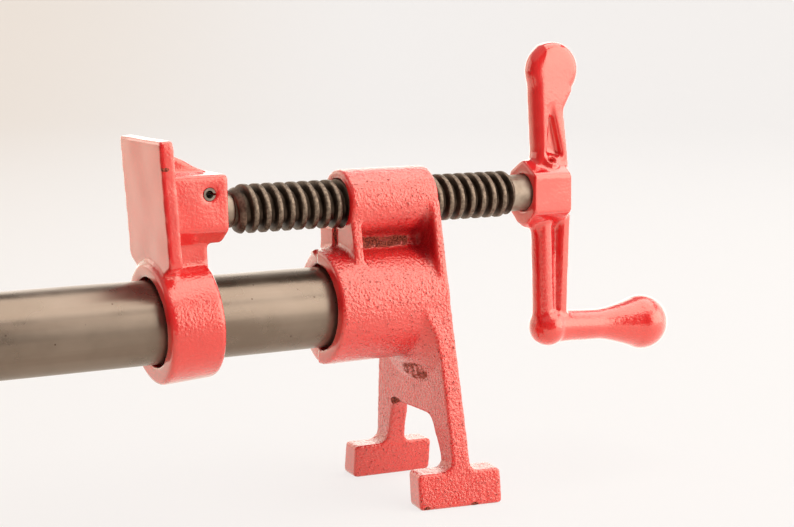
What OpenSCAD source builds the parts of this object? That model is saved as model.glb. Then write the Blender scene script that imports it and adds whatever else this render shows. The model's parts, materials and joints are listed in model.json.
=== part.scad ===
// Pipe clamp for woodworking. A screw head is fixed on one end of a pipe. Its
// jaw slides on the pipe, pushed by a screw with a crank. A tail stop slides on
// the other end and locks there with tilted plates.
// X runs along the pipe towards the crank, Y across it and Z up. The origin is
// on the bench, below the middle of the whole clamp. Millimetres.

/* [Pipe] */
// Length of the pipe
pipe_length = 304.8; // [290:0.1:900]
// Outside diameter of the pipe
pipe_d = 26.67; // [24:0.01:28]
// Thickness of the pipe's wall
pipe_wall = 2.87; // [2:0.01:4]
// Height of the pipe's axis above the bench
pipe_z = 66.35; // [62:0.05:90]
// Length of the turned-down stretch at the pipe's free end
pipe_end_length = 20; // [10:0.5:25]
// How much the turned-down stretch loses in radius, as a pipe thread does
pipe_end_cut = 0.5; // [0.3:0.05:0.7]

/* [Screw] */
// Height of the screw's axis above the pipe's axis
screw_rise = 34.06; // [33.5:0.01:42]
// Diameter of the screw over its thread
screw_d = 15.875; // [14:0.005:17]
// Length of the thread
thread_length = 106; // [100:0.5:140]
// Diameter of the plain shank between the thread and the crank
shank_d = 12.7; // [11:0.1:13.5]
// Length of the shank that shows
shank_shows = 6.9; // [4:0.1:15]
// Diameter of the journal that turns in the jaw
journal_d = 10; // [9:0.1:11]
// Length of the journal that shows
journal_shows = 3.5; // [2:0.1:8]
// Depth of the journal's bore in the jaw
journal_depth = 14; // [12:0.1:15]

/* [Head casting] */
// Wall of the barrel that holds the pipe
barrel_wall = 5.665; // [4.5:0.005:7]
// Length of the barrel that holds the pipe
barrel_length = 40.35; // [34:0.05:60]
// Wall of the barrel that the screw runs in
nut_wall = 3.26; // [2.8:0.01:4.5]
// Length of the barrel that the screw runs in
nut_length = 31.9; // [25:0.1:33]
// Thickness of the two ribs between the barrels
rib_t = 3.4; // [2.5:0.1:5]
// Thickness of the web between the barrels
web_t = 5; // [4:0.1:8]

/* [Legs and feet] */
// Thickness of the leg plate along the pipe
leg_t = 6.5; // [5:0.1:8]
// Lean of the head's leg plate away from the jaw, in degrees
leg_lean = 3.2; // [0:0.1:4]
// Width over the two feet at the bench
feet_spread = 58; // [54:0.5:80]
// Length of a foot along the pipe
foot_length = 29.4; // [24:0.1:40]
// Width of a foot across the pipe
foot_width = 9.2; // [8:0.1:12]
// Height of a foot
foot_height = 11.7; // [9:0.1:15]
// Height of the arch between the legs
arch_height = 28.6; // [24:0.1:33]

/* [Jaw casting] */
// Gap between the jaw's collar and the head at rest
jaw_gap = 40.45; // [38:0.05:42]
// Gap between the pipe and each casting that slides on it
slide_gap = 0.87; // [0.3:0.01:1.2]
// Wall of the jaw's collar
collar_wall = 5.3; // [4:0.1:7]
// Length of the jaw's collar
collar_length = 18; // [15:0.1:24]
// Width of the jaw faces
jaw_width = 35.4; // [32:0.1:46]
// Height of the jaw faces above the pipe's axis
jaw_height = 57.65; // [54:0.05:75]
// Thickness of the jaw faces
jaw_t = 4.3; // [3.5:0.1:7]
// Lean of the screw jaw's face towards the tail stop, in degrees
jaw_lean = 3.95; // [0:0.05:5]
// Width of the boss that holds the screw's journal
boss_width = 24; // [22:0.1:30]
// Height of the boss above the screw's axis
boss_height = 12.4; // [11:0.1:14]
// Length of the boss beyond the jaw's collar
boss_reach = 4.3; // [3:0.1:6]
// Outside diameter of the jaw's roll pin
pin_d = 4; // [3:0.1:4.4]
// Wall of the roll pins
pin_wall = 0.75; // [0.5:0.05:1]

/* [Crank] */
// Distance between the screw's axis and the grip's axis at the elbow
crank_radius = 48.7; // [44:0.1:70]
// Distance between the screw's axis and the lobe's centre
lobe_distance = 42.3; // [38:0.1:60]
// Radius of the lobe on the short arm
lobe_r = 9.9; // [8:0.1:13]
// Length of the hub along the screw
hub_length = 15.6; // [13:0.1:20]
// Width of the hub across its flats
hub_width = 16.4; // [16:0.1:20]
// Height of the hub over its two ridges
hub_height = 25.4; // [24:0.1:30]
// Drop of the hub's middle below the screw's axis
hub_drop = 0.9; // [0:0.1:1.5]
// Thickness of the arms
arm_t = 8; // [7:0.1:10]
// Diameter of the ball at the end of the grip
ball_d = 19.9; // [16:0.1:28]
// Diameter of the grip at its neck
neck_d = 11.1; // [10:0.1:14]
// Length from the hub's inner face to the end of the grip
grip_reach = 63; // [58:0.1:100]
// Dip of the grip towards its end, in degrees
grip_dip = 2.5; // [0:0.1:4]
// Outside diameter of the crank's roll pin
crank_pin_d = 3; // [2.6:0.1:4]

/* [Tail stop] */
// Gap between the two jaw faces, measured at the pipe's axis, at rest
work_gap = 88.7; // [60:0.1:110]
// Length of the tail stop over both of its collars
tail_length = 58; // [54:0.5:75]
// Length of each of the tail stop's two collars
tail_collar_length = 12; // [8:0.5:14]
// Width of the spine over the clutch plates
spine_width = 18; // [17:0.5:26]

/* [Clutch] */
// Thickness of a clutch plate
plate_t = 3; // [2.5:0.1:3.5]
// Width of a clutch plate
plate_width = 34; // [32:0.5:38]
// Width of a clutch plate's tab in the spine's channel
tab_width = 12; // [8:0.5:14]
// Gap between the pipe and a clutch plate's hole
plate_gap = 0.365; // [0.3:0.005:0.6]
// Tilt of the clutch plates when they grip the pipe, in degrees
plate_tilt = 7; // [4:0.25:7]
// Length of a plate's finger tab below the pipe's axis
finger_tab = 38; // [34:0.5:44]
// Diameter of the spring's wire
wire_d = 1.8; // [1.2:0.1:2.2]
// Number of turns of the spring
spring_turns = 4.5; // [3:0.5:5]

/* [Hidden] */
$fn = 72;
ROUND_STEPS = 6;      // straight pieces in the round of an outline's corner
BIG = 400;            // longer than any piece that is trimmed with it
RUN = 0.05;           // running fit between a shaft and its hole, all round
SEAT = 0.3;           // gap between pieces that rest against each other
CAST = "crimson";
STEEL = "dimgray";

pipe_r = pipe_d / 2;
screw_r = screw_d / 2;
screw_z = pipe_z + screw_rise;
barrel_r = pipe_r + barrel_wall;
nut_r = screw_r + nut_wall;
slide_r = pipe_r + slide_gap;
collar_r = slide_r + collar_wall;

// Places along the pipe, counted from the middle of the head's feet
plate_x = 1;                                  // outer face of the head's plate
barrel_x = plate_x - barrel_length;
nut_x = plate_x - nut_length;
pipe_right = plate_x - 0.5;
pipe_left = pipe_right - pipe_length;
collar_right = barrel_x - jaw_gap;
collar_left = collar_right - collar_length;
jaw_face = collar_left + 1.7;                 // jaw's face at the pipe's axis
boss_right = collar_right + boss_reach;
journal_tip = boss_right - journal_depth + SEAT;
thread_left = boss_right + journal_shows;
thread_right = thread_left + thread_length;
hub_left = thread_right + shank_shows;
hub_right = hub_left + hub_length;
grip_end = hub_left + grip_reach;
tail_face = jaw_face - work_gap;
grip_z = screw_z - crank_radius;
lobe_z = screw_z + lobe_distance;
pin_r = pin_d / 2;
crank_pin_r = crank_pin_d / 2;
groove_r = journal_d / 2 - 0.7;
pin_rise = groove_r + pin_r + 0.09;           // jaw's pin above the screw's axis
pin_x = boss_right - 6.3;
head_x = -(pipe_left + grip_end) / 2;         // puts the origin in the middle

// ---------------------------------------------------------------- outlines

function unit(v) = v / norm(v);

// Points that round the corner b between a and c with the radius r
function corner(a, b, c, r) =
    let (u = unit(a - b), w = unit(c - b), half = acos(max(-1, min(1, u * w))) / 2)
    r <= 0 || half > 89 ? [b] :
    let (
        centre = b + unit(u + w) * r / sin(half),
        first = b + u * r / tan(half) - centre,
        last = b + w * r / tan(half) - centre,
        start = atan2(first.y, first.x),
        turn = (first.x * last.y - first.y * last.x > 0 ? 1 : -1) * (180 - 2 * half)
    )
    [for (i = [0 : ROUND_STEPS])
        let (a = start + turn * i / ROUND_STEPS) centre + r * [cos(a), sin(a)]];

// An outline from corners, each [x, y, radius]
function rounded(c) = [
    for (i = [0 : len(c) - 1])
        let (a = c[(i + len(c) - 1) % len(c)], b = c[i], d = c[(i + 1) % len(c)])
        each corner([a.x, a.y], [b.x, b.y], [d.x, d.y], b.z)
];

// The corners of a half outline and of its mirror image
function both_sides(half) = concat(
    half,
    [for (i = [len(half) - 1 : -1 : 0]) [-half[i].x, half[i].y, half[i].z]]
);

// Half width of the head's left rib at a share t of the way down from the
// screw's axis to the pipe's axis
function rib_half(t) = min(nut_r - 0.9 + (barrel_r - nut_r) * 0.6 * pow(t / 0.72, 4), barrel_r - 1);

// ---------------------------------------------------------------- placing

// An outline of [x, z] points made into a slab of the width w about Y = 0
module across(w) rotate([90, 0, 0]) linear_extrude(w, center = true) children();

// An outline of [y, z] points made into a slab from x over the length l
module along(x, l) translate([x, 0, 0]) rotate([90, 0, 90]) linear_extrude(l) children();

// Corners [x, radius, rounding] turned about an axis along X at the height z
module turned(z, c) translate([0, 0, z]) rotate([0, 90, 0]) rotate_extrude()
    polygon(rounded([for (p = c) [p.y, p.x, p.z]]));

// A plain round bar or hole along X
module bar(x, l, r, z) translate([x, 0, z]) rotate([0, 90, 0]) cylinder(h = l, r = r);

// A cone along X, from the radius r1 at x to r2 at x + l
module cone(x, l, r1, r2, z) translate([x, 0, z]) rotate([0, 90, 0]) cylinder(h = l, r1 = r1, r2 = r2);

// ---------------------------------------------------------------- feet

// Front view of the two legs with their feet, from a barrel of the radius r
module legs_front(r) {
    foot_half = feet_spread / 2;
    ankle = foot_half - 1.8;                  // outer edge at the foot's top
    arch_half = ankle - foot_width - 5;       // half width of the arch at its top
    difference() {
        polygon(rounded(both_sides([
            [r + 0.05, pipe_z, 0], [ankle, foot_height, 2], [foot_half, 0, 0.8]
        ])));
        polygon(rounded(both_sides([
            [arch_half, arch_height, 4.5], [ankle - foot_width, foot_height, 3.8],
            [foot_half - foot_width, -1, 0]
        ])));
    }
}

// Side view of a leg plate that stands on feet: x is the plate's outer face at
// the pipe's axis and mid the middle of the feet
module legs_side(x, mid, lean) {
    drift = (pipe_z - foot_height) * tan(lean);
    fillet = 3.2;
    polygon(rounded([
        [x, pipe_z, 0], [x + drift, foot_height, fillet], [mid + foot_length / 2, foot_height, 1],
        [mid + foot_length / 2, 0, 1.2], [mid - foot_length / 2, 0, 1.2],
        [mid - foot_length / 2, foot_height, 1], [x + drift - leg_t, foot_height, fillet],
        [x - leg_t, pipe_z, 0]
    ]));
}

// Two legs on T-shaped feet, with a saddle that blends their plate into the
// barrel of the radius r above
module legs(x, mid, lean, r, saddle) {
    intersection() {
        along(mid - foot_length, foot_length * 2) legs_front(r);
        across(feet_spread + 10) legs_side(x, mid, lean);
    }
    intersection() {
        turned(pipe_z, [
            [x - leg_t - saddle, r - 0.6, 0], [x - leg_t, r + 0.6, 1.1 * saddle],
            [x - leg_t + 0.6, r + saddle, 0], [x - 1, r + saddle, 0], [x - 1, r - 0.6, 0]
        ]);
        along(x - leg_t - saddle - 1, leg_t + saddle + 1) legs_front(r);
    }
}

// ---------------------------------------------------------------- head

module head_casting() color(CAST) translate([head_x, 0, 0]) difference() {
    union() {
        turned(pipe_z, [
            [barrel_x, 0, 0], [barrel_x, barrel_r, 0.9], [plate_x, barrel_r, 0.7], [plate_x, 0, 0]
        ]);
        turned(screw_z, [[nut_x, 0, 0], [nut_x, nut_r, 0.9], [plate_x, nut_r, 1.2], [plate_x, 0, 0]]);
        rib();
        plate();
        web();
        legs(plate_x, 0, leg_lean, barrel_r, 7);
    }
    bar(barrel_x - 1, barrel_length + 2, pipe_r + RUN, pipe_z);
    bar(barrel_x - 1, 6, pipe_r + 0.9, pipe_z);
    bar(nut_x - 1, nut_length + 2, screw_r + RUN, screw_z);
    cone(plate_x - 1.19, 1.2, screw_r, screw_r + 1.25, screw_z);
}

// The left rib between the barrels, which flares where it meets the lower one
module rib() along(nut_x, rib_t) polygon(concat(
    [for (t = [0 : 0.1 : 1.01]) [rib_half(t), screw_z - screw_rise * t]],
    [for (t = [1 : -0.1 : -0.01]) [-rib_half(t), screw_z - screw_rise * t]]
));

// The right rib, which goes on downwards as the leg plate
module plate() along(plate_x - rib_t, rib_t) polygon([
    [nut_r + 0.2, screw_z], [barrel_r - 0.1, pipe_z], [0.1 - barrel_r, pipe_z], [-nut_r - 0.2, screw_z]
]);

// The web between the ribs, thicker where it meets the barrels
module web() {
    low = pipe_z + barrel_r;
    high = screw_z - nut_r;
    root = web_t / 2 + 3;
    along(nut_x + 1, nut_length - 2) polygon(rounded(both_sides([
        [root, high + 2.5, 0], [web_t / 2, (low + high) / 2, 5], [root, low - 2.5, 0]
    ])));
}

// ---------------------------------------------------------------- pipe

end_r = pipe_r - pipe_end_cut;

module pipe() color(STEEL) translate([head_x, 0, 0]) difference() {
    union() {
        turned(pipe_z, [
            [pipe_left + pipe_end_length, 0, 0], [pipe_left + pipe_end_length, pipe_r, 0],
            [pipe_right, pipe_r, 0], [pipe_right, 0, 0]
        ]);
        turned(pipe_z, [
            [pipe_left, 0, 0], [pipe_left, end_r - 0.9, 0], [pipe_left + 0.9, end_r, 0],
            [pipe_left + pipe_end_length + 1, end_r, 0], [pipe_left + pipe_end_length + 1, 0, 0]
        ]);
    }
    bar(pipe_left - 1, pipe_length + 2, pipe_r - pipe_wall, pipe_z);
}

// ---------------------------------------------------------------- jaw

// Turns a jaw's face about the pipe's axis at x, so that its top leans out
module leaning(x, lean) translate([x, 0, pipe_z]) rotate([0, -lean, 0]) children();

// Front view of a jaw's face, counted from the pipe's axis: wide above the
// pipe, with its lower corners drawn in to a neck
module jaw_front() {
    neck_half = 11;
    polygon(rounded(both_sides([
        [neck_half, slide_r - 4, 0], [neck_half, collar_r - 3.8, 2.5],
        [jaw_width / 2, collar_r - 0.6, 2], [jaw_width / 2, jaw_height, 0.8]
    ])));
}

module jaw_casting() color(CAST) translate([head_x, 0, 0]) difference() {
    union() {
        leaning(jaw_face, jaw_lean) along(0, jaw_t) jaw_front();
        leaning((collar_left + collar_right) / 2, jaw_lean) translate([0, 0, -pipe_z]) turned(pipe_z, [
            [-collar_length / 2, 0, 0], [-collar_length / 2, collar_r, 1.4],
            [collar_length / 2, collar_r, 1.4], [collar_length / 2, 0, 0]
        ]);
        jaw_boss();
        jaw_gusset();
        jaw_neck();
    }
    bar(collar_left - 3, collar_length + 6, slide_r, pipe_z);
    bar(boss_right - journal_depth, journal_depth + 5, journal_d / 2 + RUN, screw_z);
    translate([pin_x, 0, screw_z + pin_rise]) rotate([90, 0, 0])
        cylinder(h = boss_width + 2, r = pin_r + RUN, center = true);
}

// Bottom of the boss below the screw's axis
boss_drop = boss_height - 3;
// The jaw's back face at the height z
function jaw_back(z) = jaw_face + jaw_t / cos(jaw_lean) - (z - pipe_z) * tan(jaw_lean);

// The boss behind the face that the screw turns in, chamfered underneath
module jaw_boss() intersection() {
    across(BIG) polygon(rounded([
        [jaw_face - 2, screw_z + boss_height, 0], [boss_right - 0.3, screw_z + boss_height, 0.8],
        [boss_right, screw_z - 4.8, 1], [boss_right - 1, screw_z - boss_drop, 1.5],
        [jaw_face - 2, screw_z - boss_drop, 0]
    ]));
    along(jaw_back(screw_z) - 1, BIG) polygon(rounded(both_sides([
        [boss_width / 2, screw_z + boss_height, 1.2], [boss_width / 2 + 0.4, screw_z - 4.8, 2],
        [boss_width / 2 - 4, screw_z - boss_drop, 2]
    ])));
}

// Top of the gusset at the face
gusset_top = pipe_z + jaw_height - 2.8;

// The thin hollow-backed gusset between the top of the boss and the face
module jaw_gusset() across(5) polygon([
    [jaw_back(screw_z) - 2, screw_z + boss_height - 2], [boss_right - 2.4, screw_z + boss_height - 2],
    [boss_right - 2.4, screw_z + boss_height - 0.1], [boss_right - 4, screw_z + boss_height + 0.6],
    [boss_right - 7.4, screw_z + boss_height + 1.9], [boss_right - 11.3, screw_z + boss_height + 4.2],
    [jaw_back(gusset_top - 0.4) - 1, gusset_top], [jaw_back(screw_z) - 2, gusset_top]
]);

// The neck between the boss and the collar
module jaw_neck() across(16) polygon([
    [jaw_back(screw_z) - 1, screw_z - boss_drop + 2], [collar_right - 1.5, screw_z - boss_drop + 2],
    [collar_right - 1.1, pipe_z + collar_r - 0.5], [collar_right - 1.1, pipe_z + slide_r],
    [jaw_back(screw_z) - 1, pipe_z + slide_r]
]);

// A rolled spring pin: a tube of the length l and the radius r about Z, with a
// slit along it
module roll_pin(l, r) difference() {
    cylinder(h = l, r = r, center = true);
    cylinder(h = l + 1, r = r - pin_wall, center = true);
    translate([r, 0, 0]) cube([2 * r, 0.7, l + 1], center = true);
}

module jaw_roll_pin() color(STEEL) translate([head_x + pin_x, 0, screw_z + pin_rise])
    rotate([90, 0, 0]) roll_pin(boss_width - 0.4, pin_r);

// ---------------------------------------------------------------- screw

// Places what follows on the crank's pin, whose axis runs up and forward past
// the screw's axis and crosses the shank
pin_slope = 45;
pin_offset = 4.8;
pin_top = 11.6;                // mouth of the pin's hole, from the nearest point
pin_foot = 5.5;                // other end of the pin, from the nearest point
hub_pin_x = hub_left + 9.4;
module on_handle_pin() translate([hub_pin_x, 0, screw_z]) rotate([pin_slope, 0, 0])
    translate([0, pin_offset, 0]) children();

// The hole that the crank's pin sits in, through the hub and the shank
module handle_pin_hole() on_handle_pin() translate([0, 0, -pin_foot - 0.5])
    cylinder(h = pin_foot + pin_top + 5, r = crank_pin_r + RUN);

module screw() color(STEEL) translate([head_x, 0, 0]) difference() {
    turned(screw_z, [
        [journal_tip, 0, 0], [journal_tip, journal_d / 2, 0.8],
        [pin_x - pin_r - 0.1, journal_d / 2, 0], [pin_x - pin_r - 0.1, groove_r, 0],
        [pin_x + pin_r + 0.1, groove_r, 0], [pin_x + pin_r + 0.1, journal_d / 2, 0],
        [thread_left, journal_d / 2, 0], [thread_left + 1.8, screw_r, 0],
        [thread_right - 1, screw_r, 0], [thread_right, shank_d / 2, 0],
        [hub_right - 1, shank_d / 2, 0.6], [hub_right - 1, 0, 0]
    ]);
    handle_pin_hole();
}

// ---------------------------------------------------------------- crank

// Side view of the short arm with its lobe
arm_left = hub_left + 2.4;     // inner side of both arms
arm_right = hub_left + 17.5;   // outer side of the short arm at the hub
hub_top = screw_z - hub_drop + hub_height / 2;
hub_low = screw_z - hub_drop - hub_height / 2;
lobe_x = hub_left + 11.3;
module short_arm_side() {
    waist_z = lobe_z - 13.6;
    polygon(rounded([
        [arm_left + 2.9, screw_z, 0], [arm_left + 0.2, lobe_z, 6], [lobe_x, lobe_z, 0],
        [lobe_x + lobe_r * 0.72, lobe_z - lobe_r * 0.68, 0], [arm_right - 2.8, waist_z, 4],
        [arm_right, screw_z + 6, 0],
        [arm_right, screw_z, 0]
    ]));
}

// The tapered pocket in each side of the short arm
module short_arm_pocket() {
    floor_z = hub_top + 0.5;
    polygon(rounded([
        [hub_left + 7.7, floor_z, 0.5], [hub_left + 9, lobe_z - 9.7, 0.4], [hub_left + 14.3, floor_z, 0.5]
    ]));
}

// A disc of the radius r about Y with a rounded rim
module rounded_disc(x, z, r, t) translate([x, 0, z]) rotate([90, 0, 0]) rotate_extrude()
    polygon(rounded([[0, -t / 2, 0], [r, -t / 2, 2.6], [r, t / 2, 2.6], [0, t / 2, 0]]));

// The long arm: a rounded spine, a thin web and a flange on its outer side
module long_arm() {
    top = hub_low + 3.6;
    spine_r = arm_t / 2;
    spine_x = hub_left + 8.3;
    low_x = hub_left + 10;
    flange_x = arm_right + 0.8;
    slant = atan((low_x - spine_x) / (top - grip_z));
    spine_length = (top - grip_z) / cos(slant);
    translate([low_x, 0, grip_z]) rotate([0, -slant, 0]) cylinder(h = spine_length, r = spine_r);
    across(3) polygon([
        [low_x, grip_z], [flange_x - 1.5, grip_z + 4], [flange_x - 1, top], [spine_x, top]
    ]);
    across(arm_t) polygon(rounded([
        [flange_x - 4.6, grip_z + 2, 0], [flange_x - 1, grip_z + 2, 0], [flange_x, top + 2, 0],
        [flange_x - 3.6, top + 2, 0]
    ]));
}

// The elbow and the grip, turned about one axis that dips towards the ball
module grip() {
    elbow_r = 6.9;
    elbow_x = hub_left + 11.7;
    ball_r = ball_d / 2;
    neck_r = neck_d / 2;
    // along the grip's axis, counted from the elbow's centre
    neck_at = 21.4;
    ball_at = (grip_end - ball_r - elbow_x) / cos(grip_dip);
    swell_end = ball_at + ball_r * cos(117);
    elbow = [for (a = [170 : -10 : 60]) elbow_r * [cos(a), sin(a)]];
    swell = [for (s = [0 : 0.125 : 0.99])
        [neck_at + (swell_end - neck_at) * s, neck_r + (ball_r * sin(117) - neck_r) * pow(s, 1.5)]];
    ball = [for (a = [117 : -9 : 9]) [ball_at + ball_r * cos(a), ball_r * sin(a)]];
    translate([elbow_x, 0, grip_z]) rotate([0, 90 + grip_dip, 0]) rotate_extrude() polygon([
        [0, -elbow_r], for (p = concat(elbow, [[9, neck_r + 0.1]], swell, ball)) [p.y, p.x],
        [0, ball_at + ball_r]
    ]);
}

// Section of the hub: flat sides between an upper and a lower ridge
module hub_section() {
    flat_half = 6.7;
    polygon(rounded([
        [0, hub_low, 2], [hub_width / 2, screw_z - flat_half, 1.5],
        [hub_width / 2, screw_z + flat_half, 1.5], [0, hub_top, 2],
        [-hub_width / 2, screw_z + flat_half, 1.5], [-hub_width / 2, screw_z - flat_half, 1.5]
    ]));
}

module crank_handle() color(CAST) translate([head_x, 0, 0]) difference() {
    union() {
        along(hub_left, hub_length) hub_section();
        difference() {
            union() {
                across(arm_t) short_arm_side();
                rounded_disc(lobe_x, lobe_z, lobe_r, arm_t);
            }
            for (side = [-1, 1]) translate([0, side * (arm_t / 2 + 1.5), 0]) across(arm_t) short_arm_pocket();
        }
        long_arm();
        grip();
        on_handle_pin() cylinder(h = pin_top, r1 = 6, r2 = crank_pin_r + 0.65);
    }
    bar(hub_left - 1, hub_length + 20, shank_d / 2 + RUN, screw_z);
    handle_pin_hole();
}

module handle_roll_pin() color(STEEL) translate([head_x, 0, 0]) on_handle_pin()
    translate([0, 0, (pin_top - pin_foot) / 2]) roll_pin(pin_top + pin_foot - 0.4, crank_pin_r);

// ---------------------------------------------------------------- tail stop

tail_rear = tail_face - tail_length;
fulcrum_x = tail_face - tail_collar_length - 7;   // where the plates' tops bear
channel_top = collar_r + 5;                       // roof of the tabs' channel
channel_low = collar_r + 1;                       // underside of its cheeks
plate_pitch = plate_t + SEAT;
plate_count = 3;

module tail_casting() color(CAST) translate([head_x, 0, 0]) difference() {
    union() {
        translate([0, 0, pipe_z]) along(tail_face - jaw_t, jaw_t) jaw_front();
        tail_collar(tail_face - tail_collar_length);
        tail_collar(tail_rear);
        across(spine_width) spine_side();
        tail_legs();
    }
    bar(tail_rear - 1, tail_length + 2, slide_r, pipe_z);
    along(tail_rear + tail_collar_length, fulcrum_x - tail_rear - tail_collar_length)
        translate([-tab_width / 2 - SEAT, pipe_z]) square([tab_width + 2 * SEAT, channel_top]);
}

module tail_collar(x) turned(pipe_z, [
    [x, 0, 0], [x, collar_r, 1.2], [x + tail_collar_length, collar_r, 1.2], [x + tail_collar_length, 0, 0]
]);

// The tail stop's legs stand below its front collar
module tail_legs() {
    mid = tail_face - tail_collar_length / 2;
    legs(mid + leg_t / 2, mid, 0, collar_r, (tail_collar_length - leg_t) / 2 - 0.4);
}

// Side view of the spine that runs from the face back over the clutch plates
// to the rear collar, with the fulcrum that the plates' tops bear on
module spine_side() polygon(rounded([
    [tail_face - 1, pipe_z + jaw_height * 0.45, 0], [tail_face - 1, pipe_z + jaw_height * 0.86, 0],
    [tail_face - jaw_t - 2, pipe_z + jaw_height * 0.86, 3], [tail_rear + 4, pipe_z + channel_top + 3, 8],
    [tail_rear, pipe_z + collar_r - 3, 1], [tail_rear, pipe_z + slide_r + 1, 0],
    [tail_rear + tail_collar_length, pipe_z + slide_r + 1, 0],
    [tail_rear + tail_collar_length, pipe_z + channel_low, 1.5],
    [fulcrum_x, pipe_z + channel_low, 0],
    [tail_face - tail_collar_length + 0.5, pipe_z + slide_r + 1, 2], [tail_face - 1, pipe_z + slide_r + 1, 0]
]));

// ---------------------------------------------------------------- clutch

// The tilted plates rock on their rounded tops in the spine's channel
hinge_rise = channel_top - SEAT - 0.5 - plate_t / 2;  // above the pipe's axis
hinge_x = fulcrum_x - SEAT - plate_t / 2 / cos(plate_tilt) - (hinge_rise - channel_low) * tan(plate_tilt);
hole_drop = hinge_rise / cos(plate_tilt);             // from a plate's top to its hole
shoulder = channel_low - 1.5 - hinge_rise;            // top of a plate beside its tab

// A clutch plate, the i-th from the front, tilted so that it grips the pipe
module clutch_plate(i) color(STEEL) translate([head_x + hinge_x - i * plate_pitch, 0, pipe_z + hinge_rise])
    rotate([0, -plate_tilt, 0]) difference() {
        union() {
            rotate([90, 0, 0]) cylinder(h = tab_width, r = plate_t / 2, center = true);
            along(-plate_t / 2, plate_t) polygon(rounded(both_sides([
                [tab_width / 2, 0, 0], [tab_width / 2, shoulder, 1], [plate_width / 2, shoulder, 6],
                [plate_width / 2, -hole_drop - 12, 6], [9, -hole_drop - 24, 6],
                [9, -hole_drop - finger_tab, 5]
            ])));
        }
        bar(-plate_t, 2 * plate_t, pipe_r + plate_gap, -hole_drop);
    }

module clutch_plate_front() clutch_plate(0);
module clutch_plate_middle() clutch_plate(1);
module clutch_plate_rear() clutch_plate(2);

// The spring round the pipe, from the rear collar to the last tilted plate
RINGS_A_TURN = 8;
WIRE_SIDES = 6;
spring_r = (pipe_r + SEAT + wire_d / 2) / cos(180 / RINGS_A_TURN);
function spring_back() = tail_rear + tail_collar_length + SEAT + wire_d / 2;
function spring_front(z) =
    hinge_x - (plate_count - 1) * plate_pitch + (hinge_rise - z) * tan(plate_tilt)
    - (plate_t / 2 + wire_d / 2 + SEAT) / cos(plate_tilt);

// Middle of the wire at a share s of the spring, flatter towards both ends
function wire_at(s) =
    let (
        a = 360 * spring_turns * s,
        z = spring_r * cos(a),
        rise = s - 0.03 * sin(360 * s)
    )
    [spring_back() + (spring_front(z) - spring_back()) * rise, spring_r * sin(a), z];
ring_count = ceil(spring_turns * RINGS_A_TURN);
wire = [for (i = [0 : ring_count]) wire_at(i / ring_count)];
far_apart = RINGS_A_TURN / 2;
between_turns = [
    for (i = [0 : ring_count], j = [i + far_apart : 1 : ring_count]) norm(wire[j] - wire[i])
];
least_gap = min(between_turns) - wire_d;
echo(least_gap_between_turns = least_gap);

// A ring of points about the wire's middle, square to the wire
function wire_ring(i) =
    let (
        ahead = unit(wire[min(i + 1, ring_count)] - wire[max(i - 1, 0)]),
        out = unit([0, wire[i].y, wire[i].z]),
        side = unit(cross(ahead, out)),
        up = cross(side, ahead)
    )
    [for (k = [0 : WIRE_SIDES - 1])
        let (a = 360 * k / WIRE_SIDES) wire[i] + wire_d / 2 * (up * cos(a) + side * sin(a))];

module clutch_spring() color(STEEL) translate([head_x, 0, pipe_z]) polyhedron(
    points = [for (i = [0 : ring_count]) each wire_ring(i)],
    faces = concat(
        [for (i = [0 : ring_count - 1], k = [0 : WIRE_SIDES - 1])
            let (a = i * WIRE_SIDES, n = (k + 1) % WIRE_SIDES)
            each [[a + k, a + n, a + WIRE_SIDES + n], [a + k, a + WIRE_SIDES + n, a + WIRE_SIDES + k]]],
        [for (k = [1 : WIRE_SIDES - 2]) [0, k + 1, k]],
        [for (k = [1 : WIRE_SIDES - 2]) let (a = ring_count * WIRE_SIDES) [a, a + k, a + k + 1]]
    )
);

head_casting();
pipe();
jaw_casting();
jaw_roll_pin();
screw();
crank_handle();
handle_roll_pin();
tail_casting();
clutch_plate_front();
clutch_plate_middle();
clutch_plate_rear();
clutch_spring();
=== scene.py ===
"""Looks of a woodworking pipe clamp: red castings, a threaded screw, a steel pipe and a plate clutch.

Lengths below are in metres. Sizes that the frame knows are read from it.
"""

import json
import math

import bmesh
import bpy
import numpy as np
from mathutils import Matrix, Vector, noise

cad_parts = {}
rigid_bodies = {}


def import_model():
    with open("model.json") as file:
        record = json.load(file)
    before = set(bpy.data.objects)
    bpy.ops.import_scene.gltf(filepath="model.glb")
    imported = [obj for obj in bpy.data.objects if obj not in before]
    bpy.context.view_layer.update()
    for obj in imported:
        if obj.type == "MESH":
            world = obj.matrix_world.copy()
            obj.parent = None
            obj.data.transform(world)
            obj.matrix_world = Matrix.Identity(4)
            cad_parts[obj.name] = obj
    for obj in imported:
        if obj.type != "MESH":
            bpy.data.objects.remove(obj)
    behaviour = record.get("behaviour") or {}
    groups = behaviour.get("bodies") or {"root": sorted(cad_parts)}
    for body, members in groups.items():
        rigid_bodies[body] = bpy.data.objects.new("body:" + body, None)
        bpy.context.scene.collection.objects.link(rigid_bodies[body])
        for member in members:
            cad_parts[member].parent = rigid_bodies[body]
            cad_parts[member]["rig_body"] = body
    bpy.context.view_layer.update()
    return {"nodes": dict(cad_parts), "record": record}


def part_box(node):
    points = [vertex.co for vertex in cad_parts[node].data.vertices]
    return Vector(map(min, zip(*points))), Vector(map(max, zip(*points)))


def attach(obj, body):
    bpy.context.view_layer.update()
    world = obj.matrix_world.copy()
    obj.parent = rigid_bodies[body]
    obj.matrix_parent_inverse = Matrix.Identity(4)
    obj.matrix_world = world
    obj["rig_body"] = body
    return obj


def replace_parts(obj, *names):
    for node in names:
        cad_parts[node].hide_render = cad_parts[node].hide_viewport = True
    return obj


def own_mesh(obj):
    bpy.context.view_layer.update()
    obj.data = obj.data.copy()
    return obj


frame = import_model()
MM = 0.001
TURN = 2 * math.pi


# ---------------------------------------------------------------- places from the frame


def middle(node):
    """Middle of a node's box."""
    low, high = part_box(node)
    return (low + high) / 2


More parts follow.
